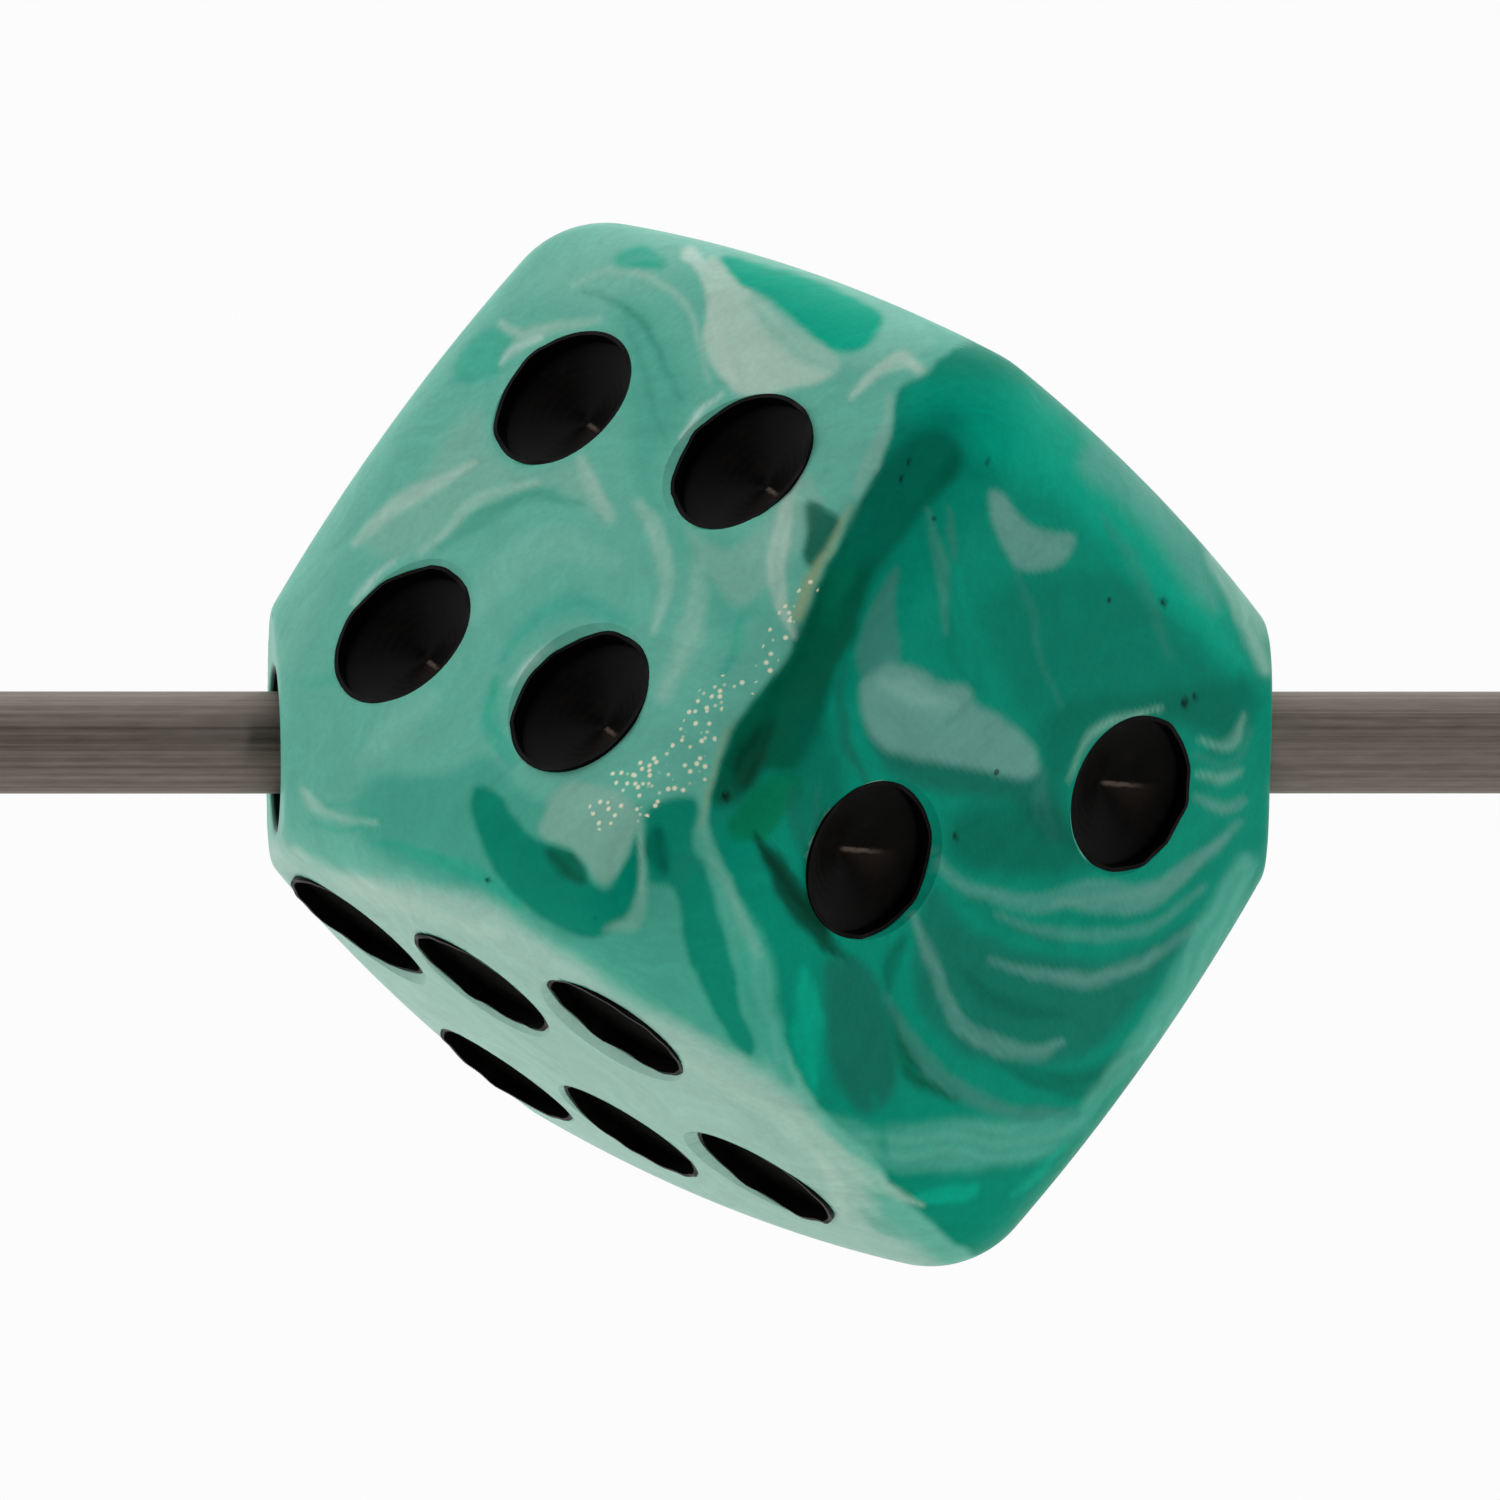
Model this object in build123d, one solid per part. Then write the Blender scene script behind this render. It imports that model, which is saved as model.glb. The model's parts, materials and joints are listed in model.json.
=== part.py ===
from build123d import *
import os
from math import acos, atan, cos, degrees, radians, sin, sqrt, tan

# A playing die drilled corner to corner and threaded on a thin steel rod as a loose bead.
# Millimetres, +Z up. The origin is the die's centre, on the rod's axis, and the rod runs along X.
# Built pieces: the rod, the die's body, and the paint in each of its pips.

# Driving sizes
die_edge = 12.3            # middle of one face to the middle of the opposite one
face_crown = 45.0          # radius of each face, worn slightly domed by tumbling
edge_round = 1.8           # tumbled edges and corners

rod_diameter = 1.6
rod_length = 36.0
rod_chamfer = 0.15
bore_clearance = 0.45      # gap all round between the rod and the bore
mouth_round = 0.12         # softened edges of the bore's two mouths
mouth_land = 0.1           # flat left round each mouth at its narrowest
flat_round = 0.4           # softened rims of the two flats ground for the mouths

pip_diameter = 2.5
pip_wall = 0.34            # straight part of a pip, below its mouth
pip_cone = 0.52            # drill-point cone below the straight part
pip_rim = 0.05             # bevel round the mouth, left unpainted
paint_thickness = 0.07

# Pip places, as shares of the die's edge from the middle of a face
square_share = 0.1756      # corner pips of three and five
four_share_along = 0.171   # the pips of four, drilled as a slightly tall square
four_share_across = 0.185
two_share = 0.153          # the pips of two sit a little further in
six_share_along = 0.2517   # end pips of each row of three, along the row
six_share_across = 0.1785  # each row of three, from the middle line

# How far the drilled patterns of two and four sit off the middle of their faces
two_drift_along = 0.52
two_drift_across = 0.15
four_drift_along = 0.30
four_drift_across = -0.19

die_roll = 198.0           # turn of the die about the rod, from +Y to the face of two
cock_share = 0.87          # how much of the bore's slack the die has tilted into ...
cock_heading = 18.0        # ... about an axis this far from +Z towards -Y

# Worked-out sizes
half_edge = die_edge / 2
pip_radius = pip_diameter / 2
bore_radius = rod_diameter / 2 + bore_clearance
diagonal_tilt = acos(1 / sqrt(3))  # between each face's normal and the drilled diagonal
overcut = 1.0              # how far each cutting tool stands clear of the surface it cuts

# Each drilled corner is ground back until its flat takes the mouth, the land and both roundings.
# That is where the plane across the diagonal meets the faces' spheres this far from the axis.
flat_reach = bore_radius + mouth_round + mouth_land + flat_round * tan(diagonal_tilt / 2)
crown_back = face_crown - half_edge
along_diagonal = crown_back * cos(diagonal_tilt)
across_diagonal = flat_reach + crown_back * sin(diagonal_tilt)
bore_mouth = sqrt(face_crown**2 - across_diagonal**2) - along_diagonal


def face_normal(roll):
    swing = sin(diagonal_tilt)
    return Vector(cos(diagonal_tilt), swing * cos(radians(roll)), swing * sin(radians(roll)))


# The die is shaped on its own axes: two faces +X, four faces +Y and six faces +Z, opposite faces
# add up to seven, and the bore follows the diagonal (1, -1, -1).
diagonal = Plane((0, 0, 0), z_dir=(1, -1, -1))
squared_up = Plane((0, 0, 0), x_dir=face_normal(die_roll), z_dir=-face_normal(die_roll - 120))

# Faces by value: the outward direction, the direction of the first middle line, and the pips'
# places along and across that line as shares of the edge.
drifts = {"two": (two_drift_along, two_drift_across), "four": (four_drift_along, four_drift_across)}
tall_square = [(x * four_share_along, y * four_share_across) for x in (-1, 1) for y in (-1, 1)]
square = [(x * square_share, y * square_share) for x in (-1, 1) for y in (-1, 1)]
rows_of_three = [(x * six_share_along, y * six_share_across) for y in (1, -1) for x in (-1, 0, 1)]
faces = {
    "one": ((0, 0, -1), (1, 0, 0), [(0, 0)]),
    "two": ((1, 0, 0), (0, 1, 0), [(two_share, two_share), (-two_share, -two_share)]),
    "three": ((0, -1, 0), (1, 0, 0), [square[0], (0, 0), square[3]]),
    "four": ((0, 1, 0), (1, 0, 0), tall_square),
    "five": ((-1, 0, 0), (0, 1, 0), square + [(0, 0)]),
    "six": ((0, 0, 1), (1, 0, 0), rows_of_three),
}


def pip_places():
    for value, (outward, along, shares) in faces.items():
        face = Plane((0, 0, 0), x_dir=along, z_dir=outward).location
        drift_along, drift_across = drifts.get(value, (0, 0))
        for number, (x_share, y_share) in enumerate(shares, start=1):
            x, y = x_share * die_edge + drift_along, y_share * die_edge + drift_across
            dome_drop = face_crown - sqrt(face_crown**2 - x**2 - y**2)
            yield f"pip_{value}_{number}", face * Location((x, y, half_edge - dome_drop))


def turned(points):
    outline = make_face(Polyline([(x, 0, z) for x, z in points], close=True))
    return revolve(outline, Axis.Z)


# The drill's shape and the paint that lines the drilled wall and cone, each with its mouth at z = 0
pip_floor = -pip_wall - pip_cone
drill = turned([
    (0, overcut),
    (pip_radius + pip_rim + overcut, overcut),
    (pip_radius, -pip_rim),
    (pip_radius, -pip_wall),
    (0, pip_floor),
])
cone_slope = pip_cone / pip_radius
paint_radius = pip_radius - paint_thickness
paint_floor = pip_floor + paint_thickness / cos(atan(cone_slope))
paint = turned([
    (pip_radius, -pip_rim),
    (pip_radius, -pip_wall),
    (0, pip_floor),
    (0, paint_floor),
    (paint_radius, paint_floor + cone_slope * paint_radius),
    (paint_radius, -pip_rim),
])

# Die body: domed faces, tumbled edges, two ground corners, the bore between them, then the pips
body = Box(die_edge, die_edge, die_edge)
for outward, _, _ in faces.values():
    body &= Location(Vector(*outward) * (half_edge - face_crown)) * Sphere(face_crown)
body = fillet(body.edges(), edge_round)
body &= diagonal.location * Cylinder(die_edge, 2 * bore_mouth)
flats = body.faces().filter_by(GeomType.PLANE)
body = fillet(flats.edges(), flat_round)
body -= diagonal.location * Cylinder(bore_radius, 2 * die_edge)
mouths = body.edges().filter_by(GeomType.CIRCLE).filter_by(lambda edge: abs(edge.radius - bore_radius) < 1e-3)
body = fillet(mouths, mouth_round)
for name, place in pip_places():
    body -= place * drill

# The loose die hangs cocked on the rod, short of touching it
cock = cock_share * degrees(atan(bore_clearance / bore_mouth))
cocked = Location((0, 0, 0), (0, -cock * sin(radians(cock_heading)), cock * cos(radians(cock_heading))))
die_place = cocked * squared_up.location

# Rod: drawn steel, both ends chamfered
rod = Plane.YZ.location * Cylinder(rod_diameter / 2, rod_length)
rod = chamfer(rod.edges().filter_by(GeomType.CIRCLE), rod_chamfer)

nodes = {"rod": rod, "die_body": die_place * body}
for name, place in pip_places():
    nodes[name] = die_place * place * paint
os.makedirs("parts", exist_ok=True)
for name, shape in nodes.items():
    shape.label = name
    export_step(shape, f"parts/{name}.step")
print("bore mouths at", round(bore_mouth, 3), "mm, cocked", round(cock, 2), "degrees")
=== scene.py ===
import json
import math

import bpy
import numpy as np
from mathutils import Matrix, Vector, noise

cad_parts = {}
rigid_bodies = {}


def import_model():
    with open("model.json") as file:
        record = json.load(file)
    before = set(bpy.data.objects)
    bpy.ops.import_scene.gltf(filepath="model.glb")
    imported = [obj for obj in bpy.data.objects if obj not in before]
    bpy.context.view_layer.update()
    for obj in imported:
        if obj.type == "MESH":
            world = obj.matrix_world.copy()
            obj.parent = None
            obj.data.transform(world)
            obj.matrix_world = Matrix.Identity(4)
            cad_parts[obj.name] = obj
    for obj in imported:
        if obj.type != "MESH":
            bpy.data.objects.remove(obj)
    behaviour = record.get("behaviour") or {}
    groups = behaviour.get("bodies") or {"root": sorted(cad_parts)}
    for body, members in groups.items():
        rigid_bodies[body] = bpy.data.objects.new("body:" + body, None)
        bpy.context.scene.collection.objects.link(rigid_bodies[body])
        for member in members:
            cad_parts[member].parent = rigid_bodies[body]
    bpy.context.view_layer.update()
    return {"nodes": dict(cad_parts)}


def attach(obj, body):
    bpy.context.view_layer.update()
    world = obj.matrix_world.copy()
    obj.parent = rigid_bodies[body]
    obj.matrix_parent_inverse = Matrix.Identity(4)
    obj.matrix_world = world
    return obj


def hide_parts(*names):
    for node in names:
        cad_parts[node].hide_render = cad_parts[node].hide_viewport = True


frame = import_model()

nodes = frame["nodes"]
mm = 0.001


def linearColour(hexValue):
    # an sRGB hex value such as "5f9d8e" as linear light
    parts = [int(hexValue[i:i + 2], 16) / 255 for i in (0, 2, 4)]
    return [p / 12.92 if p < 0.04045 else ((p + 0.055) / 1.055) ** 2.4 for p in parts]


def deselectAll():
    for thing in bpy.context.scene.objects:
        thing.select_set(False)


def makeActive(thing):
    deselectAll()
    thing.select_set(True)
    bpy.context.view_layer.objects.active = thing


def applyModifier(thing, kind, **settings):
    makeActive(thing)
    modifier = thing.modifiers.new(kind.lower(), kind)
    for key, value in settings.items():
        setattr(modifier, key, value)
    bpy.ops.object.modifier_apply(modifier=modifier.name)


def readPoints(thing):
    points = np.empty(len(thing.data.vertices) * 3)
    thing.data.vertices.foreach_get("co", points)
    return points.reshape(-1, 3)


def writePoints(thing, points):
    thing.data.vertices.foreach_set("co", np.asarray(points, float).ravel())
    thing.data.update()


def turnedSolid(rings, segments):
    # a closed turned shape: the first ring is filled, and each next ring is extruded and scaled from it
    deselectAll()
    radius, height = rings[0]
    place = (0, 0, height)
    bpy.ops.mesh.primitive_circle_add(vertices=segments, radius=radius, fill_type="NGON", location=place)
    solid = bpy.context.object
    bpy.ops.object.transform_apply(location=True)
    bpy.ops.object.mode_set(mode="EDIT")
    bpy.ops.mesh.select_all(action="SELECT")
    for nextRadius, nextHeight in rings[1:]:
        bpy.ops.mesh.extrude_region_move(TRANSFORM_OT_translate={"value": (0, 0, nextHeight - height)})
        factor = nextRadius / radius
        bpy.ops.transform.resize(value=(factor, factor, 1), center_override=(0, 0, nextHeight))
        radius, height = nextRadius, nextHeight
    bpy.ops.mesh.select_all(action="SELECT")
    bpy.ops.mesh.remove_doubles(threshold=1e-7)
    bpy.ops.mesh.normals_make_consistent(inside=False)
    bpy.ops.object.mode_set(mode="OBJECT")
    return solid


def placedCopy(thing, name, matrix):
    copy = thing.copy()
    copy.data = thing.data.copy()
    copy.name = name
    copy.data.name = name
    bpy.context.scene.collection.objects.link(copy)
    copy.data.transform(matrix)
    return copy


# The die's own axes, read from the pips that sit in the middle of a face: one is -Z, five -X, three -Y
def faceCentre(node):
    return Vector(readPoints(nodes[node]).mean(0))


axisZ = -faceCentre("pip_one_1").normalized()
axisX = -faceCentre("pip_five_5").normalized()
axisX = (axisX - axisX.dot(axisZ) * axisZ).normalized()
axisY = axisZ.cross(axisX)
dieTurn = Matrix((axisX, axisY, axisZ)).transposed()
faceNormals = {"one": -axisZ, "two": axisX, "three": -axisY, "four": axisY, "five": -axisX, "six": axisZ}

# Where the die is looked at from; its swirls are laid out as seen from there
view = {
    "azimuth": -3.0,
    "distance": 0.28,
    "lens": 430.0,
    "shiftX": -0.0117,
    "shiftY": -0.0050,
}
viewAngle = math.radians(view["azimuth"])
viewRight = np.array([math.cos(viewAngle), math.sin(viewAngle), 0])
viewBack = np.array([math.sin(viewAngle), -math.cos(viewAngle), 0])

# Die body, all in millimetres on its own axes
dieBody = {
    "edge": 12.3,
    "faceCrown": 45.0,
    "edgeRound": 1.8,
    "boreRadius": 1.25,
    "boreMouth": 7.729,
    "mouthRound": 0.12,
    "flatRound": 0.4,
    "cuts": 75,
    "pipRadius": 2.5 / 2,
    "pipWall": 0.34,
    "pipCone": 0.52,
    "pipRim": 0.05,
}


def roundedPair(first, second, cosine):
    # how far outside the meeting of two offset surfaces, where both are passed
    one = (first - cosine * second) / (1 - cosine**2)
    other = (second - cosine * first) / (1 - cosine**2)
    both = (one > 0) & (other > 0)
    reach = np.sqrt(np.maximum(one * first + other * second, 0))
    return np.where(both, reach, -9), one, other


def dieDistance(p):
    # distance out of the undrilled die: domed faces, rolled edges and corners, two ground flats
    crown, radius = dieBody["faceCrown"], dieBody["edgeRound"]
    normals, passed = [], []
    for axis in range(3):
        fromCentre = p.copy()
        fromCentre[:, axis] += np.where(p[:, axis] < 0, -1, 1) * (crown - dieBody["edge"] / 2)
        length = np.linalg.norm(fromCentre, axis=1)
        normals.append(fromCentre / length[:, None])
        passed.append(length - (crown - radius))
    q = np.stack(passed, 1)
    best = q.max(1)
    outward = np.stack(normals, 1)[np.arange(len(p)), q.argmax(1)]
    for i, j in ((0, 1), (0, 2), (1, 2)):
        cosine = (normals[i] * normals[j]).sum(1)
        reach, one, other = roundedPair(q[:, i], q[:, j], cosine)
        way = one[:, None] * normals[i] + other[:, None] * normals[j]
        outward = np.where((reach > best)[:, None], way / np.maximum(reach, 1e-9)[:, None], outward)
        best = np.maximum(best, reach)
    stack = np.stack(normals, 1)
    gram = stack @ stack.transpose(0, 2, 1)
    shares = np.linalg.solve(gram, q[:, :, None])[:, :, 0]
    reach = np.where(shares.min(1) > 0, np.sqrt(np.maximum((shares * q).sum(1), 0)), -9)
    way = (shares[:, :, None] * stack).sum(1)
    outward = np.where((reach > best)[:, None], way / np.maximum(reach, 1e-9)[:, None], outward)
    best = np.maximum(best, reach)
    diagonal = np.array([1, -1, -1]) / math.sqrt(3)
    along = p @ diagonal
    soft = dieBody["flatRound"]
    first, second = best - radius + soft, np.abs(along) - dieBody["boreMouth"] + soft
    cosine = (outward @ diagonal) * np.sign(along)
    reach, _, _ = roundedPair(first, second, np.clip(cosine, -0.99, 0.99))
    return np.maximum(np.maximum(first, second), reach) - soft


def makeDieBody():
    deselectAll()
    bpy.ops.mesh.primitive_cube_add(size=2)
    die = bpy.context.object
    die.name = "marbled_die"
    bpy.ops.object.mode_set(mode="EDIT")
    bpy.ops.mesh.subdivide(number_cuts=dieBody["cuts"])
    bpy.ops.mesh.select_all(action="DESELECT")
    bpy.ops.mesh.select_mode(type="FACE")
    bpy.ops.object.mode_set(mode="OBJECT")
    for face in die.data.polygons:
        face.select = max(face.normal) > 0.9  # two, four and six, whose swirls are finest
    bpy.ops.object.mode_set(mode="EDIT")
    bpy.ops.mesh.subdivide(number_cuts=1)
    bpy.ops.object.mode_set(mode="OBJECT")
    # each point goes out along its own ray to the die's surface
    rays = readPoints(die)
    rays /= np.linalg.norm(rays, axis=1)[:, None]
    low, high = np.full(len(rays), 4.0), np.full(len(rays), 12.0)
    for _ in range(34):
        middle = (low + high) / 2
        outside = dieDistance(rays * middle[:, None]) > 0
        high = np.where(outside, middle, high)
        low = np.where(outside, low, middle)
    turn = np.array(dieTurn)
    writePoints(die, (rays * low[:, None]) @ turn.T * mm)
    return die


# which way the painted highlight line and lit sector run in each face's pips
glintWays = {"four": (0.44, -0.80, -0.42), "two": (0.80, 0.60, 0.0), "six": (0.75, -0.2, -0.6)}


def pipPlace(node):
    # a matrix whose +Z leaves the face and whose origin is the middle of the pip's mouth
    value = node.split("_")[1]
    outward = faceNormals[value]
    points = readPoints(nodes[node])
    centre = Vector(points.mean(0))
    top = float(max(points @ np.array(outward)))
    centre += (top + dieBody["pipRim"] * mm - centre.dot(outward)) * outward
    side = Vector(glintWays.get(value, (0.3, 0.5, 0.8)))
    side = (side - side.dot(outward) * outward).normalized()
    turn = Matrix((side, outward.cross(side), outward)).transposed()
    return Matrix.Translation(centre) @ turn.to_4x4()


pipNames = sorted(name for name in nodes if name.startswith("pip_"))

die = makeDieBody()
print("die block", len(die.data.vertices), "points")


def cutDie(die):
    r, rim, wall = dieBody["pipRadius"] * mm, dieBody["pipRim"] * mm, dieBody["pipWall"] * mm
    floor = wall + dieBody["pipCone"] * mm
    over = 0.6 * mm
    drill = turnedSolid([(r + rim + over, over), (r, -rim), (r, -wall), (r * 1e-3, -floor)], 64)
    drills = [placedCopy(drill, "drill", pipPlace(name)) for name in pipNames]
    bpy.data.objects.remove(drill)
    bore, mouth, soft = dieBody["boreRadius"] * mm, dieBody["boreMouth"] * mm, dieBody["mouthRound"] * mm
    flare = [(soft * (1 - math.sin(a)), soft * (1 - math.cos(a))) for a in (0.5, 1.0, math.pi / 2)]
    ringsUp = [(bore, mouth - soft)] + [(bore + rise, mouth - sink) for sink, rise in flare]
    ringsUp.append((bore + soft, mouth + over))
    rings = [(radius, -height) for radius, height in reversed(ringsUp)] + ringsUp
    borer = turnedSolid(rings, 96)
    along = dieTurn @ Vector((1, -1, -1)).normalized()
    borer.data.transform(along.to_track_quat("Z", "Y").to_matrix().to_4x4())
    deselectAll()
    for tool in drills + [borer]:
        tool.select_set(True)
    bpy.context.view_layer.objects.active = borer
    bpy.ops.object.join()
    applyModifier(die, "BOOLEAN", operation="DIFFERENCE", object=borer, solver="MANIFOLD")
    bpy.data.objects.remove(borer)


cutDie(die)
makeActive(die)
bpy.ops.object.shade_smooth_by_angle(angle=math.radians(28))
print("die drilled", len(die.data.vertices), "points")
print("die triangles", sum(len(face.vertices) - 2 for face in die.data.polygons))

# Pigments of the marbled plastic, from the whitest to the darkest
pigments = {
    "frost": "dcf2ea", "chalk": "bddccc", "mist": "a6d0c2", "ash": "90c2b1", "pale": "88cdba",
    "mint": "6cc0ab", "sage": "3aab92", "smoke": "6ba499", "haze": "3f8c7d", "slate": "12715f",
    "jade": "00b495", "teal": "009077", "sea": "007c66", "deep": "006450", "leaf": "007f57",
    "forest": "005a40", "night": "003422", "straw": "9fb388",
}

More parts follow.
